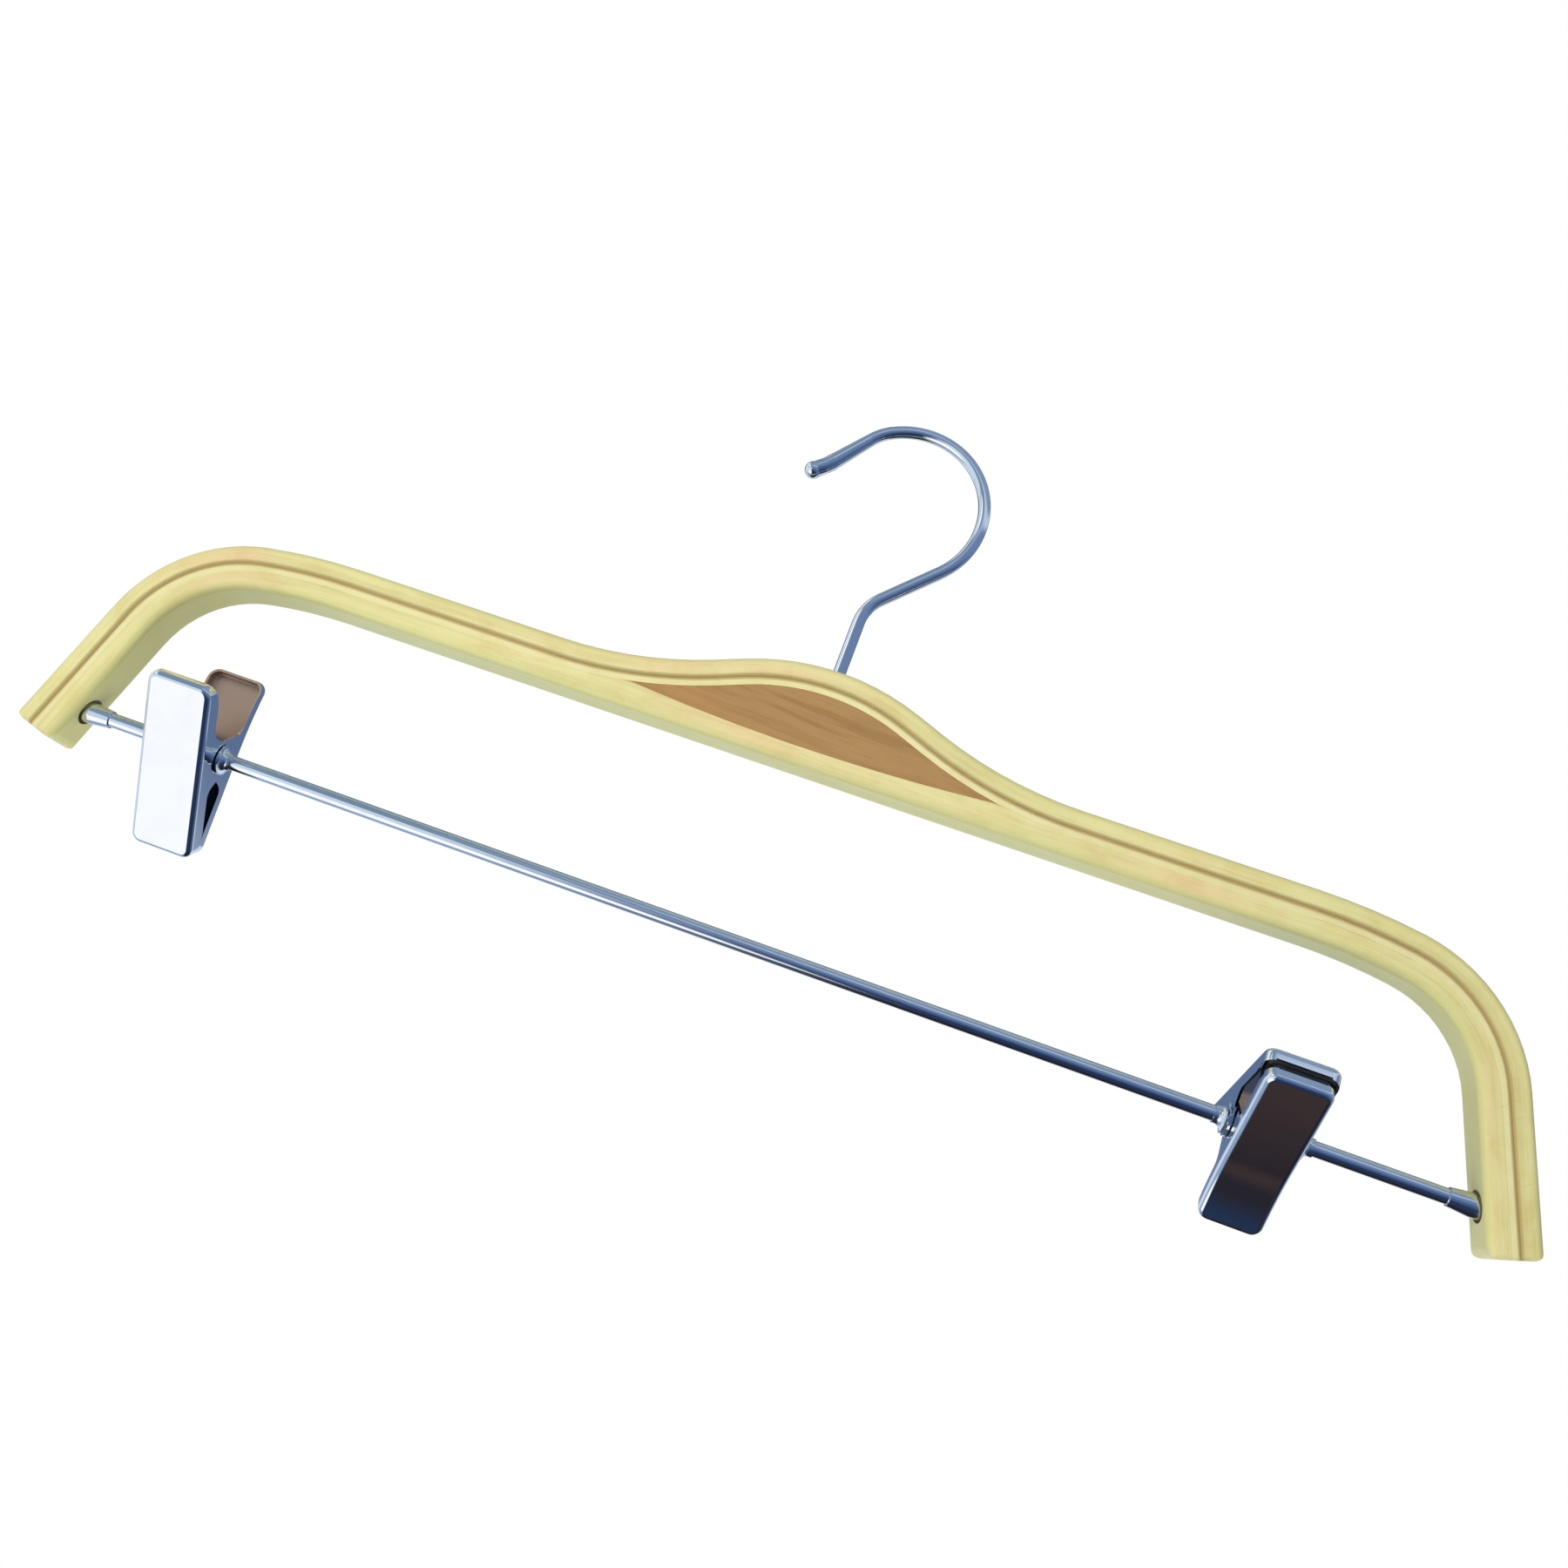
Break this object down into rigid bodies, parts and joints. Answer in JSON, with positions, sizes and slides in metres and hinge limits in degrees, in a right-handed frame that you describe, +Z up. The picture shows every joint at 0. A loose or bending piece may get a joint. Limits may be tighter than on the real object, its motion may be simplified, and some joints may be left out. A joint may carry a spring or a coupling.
{
  "type": "trouser hanger",
  "caption": "Bent laminated wood hanger with a swivelling wire hook, a round bar between its legs and sprung clips that slide and swing on the bar to hold trousers or a skirt.",
  "frame": {"origin": "inside crown of the hook, where it bears on a rail, in the middle plane of the wood", "axes": "+X along the bar to the right as seen from the front, +Y from the front face to the back, +Z up"},
  "size_m": [0.4304, 0.0544, 0.191],
  "materials": {
    "outer_wood": "pale maple-like veneer lamination under a satin clear lacquer",
    "middle_wood": "thin cream lamination, satin lacquer",
    "inner_wood": "pale lamination under a satin clear lacquer",
    "insert_wood": "mid brown walnut-like filler, satin lacquer",
    "hook_metal": "bright chrome plating",
    "bush_metal": "plain turned brass",
    "nut_metal": "zinc plated, dull",
    "bar_metal": "bright chrome plating",
    "ferrule_metal": "bright chrome plating",
    "jaw_metal": "mirror-bright chrome plating with fine handling scratches",
    "sleeve_metal": "chrome plated",
    "spring_metal": "hard-drawn spring wire, zinc plated",
    "pad": "black soft rubber with cross grooves"
  },
  "bodies": {
    "frame": {"top_strip": "outer_wood", "middle_strip": "middle_wood", "bottom_strip": "inner_wood", "walnut_insert": "insert_wood", "hook_bush": "bush_metal", "trouser_bar": "bar_metal", "left_ferrule": "ferrule_metal", "right_ferrule": "ferrule_metal"},
    "hook": {"hook": "hook_metal", "hook_nut": "nut_metal"},
    "left_slider": {"left_clip_sleeve": "sleeve_metal"},
    "left_grip": {"left_inner_jaw": "jaw_metal", "left_inner_pad": "pad", "left_clip_spring": "spring_metal"},
    "left_lever": {"left_outer_jaw": "jaw_metal", "left_outer_pad": "pad"},
    "right_slider": {"right_clip_sleeve": "sleeve_metal"},
    "right_grip": {"right_inner_jaw": "jaw_metal", "right_inner_pad": "pad", "right_clip_spring": "spring_metal"},
    "right_lever": {"right_outer_jaw": "jaw_metal", "right_outer_pad": "pad"}
  },
  "joints": [
    {"name": "hook_swivel", "type": "hinge", "parent": "frame", "child": "hook", "pos_m": [0, 0, -0.09], "axis": [0, 0, 1], "continuous": true},
    {"name": "left_clip_slide", "type": "slide", "parent": "frame", "child": "left_slider", "axis": [1, 0, 0], "range_m": [-0.0115, 0.152]},
    {"name": "left_clip_swing", "type": "hinge", "parent": "left_slider", "child": "left_grip", "pos_m": [-0.16604, 0, -0.15825], "axis": [1, 0, 0], "continuous": true},
    {"name": "left_clip_open", "type": "hinge", "parent": "left_grip", "child": "left_lever", "pos_m": [-0.16604, 0, -0.15825], "axis": [-1, 0, 0], "range_deg": [0, 34], "stiffness_Nm_per_rad": 0.15, "springref_deg": -57.3, "deforming": ["left_clip_spring"]},
    {"name": "right_clip_slide", "type": "slide", "parent": "frame", "child": "right_slider", "axis": [1, 0, 0], "range_m": [-0.1305, 0.033]},
    {"name": "right_clip_swing", "type": "hinge", "parent": "right_slider", "child": "right_grip", "pos_m": [0.14454, 0, -0.15825], "axis": [1, 0, 0], "continuous": true},
    {"name": "right_clip_open", "type": "hinge", "parent": "right_grip", "child": "right_lever", "pos_m": [0.14454, 0, -0.15825], "axis": [-1, 0, 0], "range_deg": [0, 34], "stiffness_Nm_per_rad": 0.15, "springref_deg": -57.3, "deforming": ["right_clip_spring"]}
  ]
}
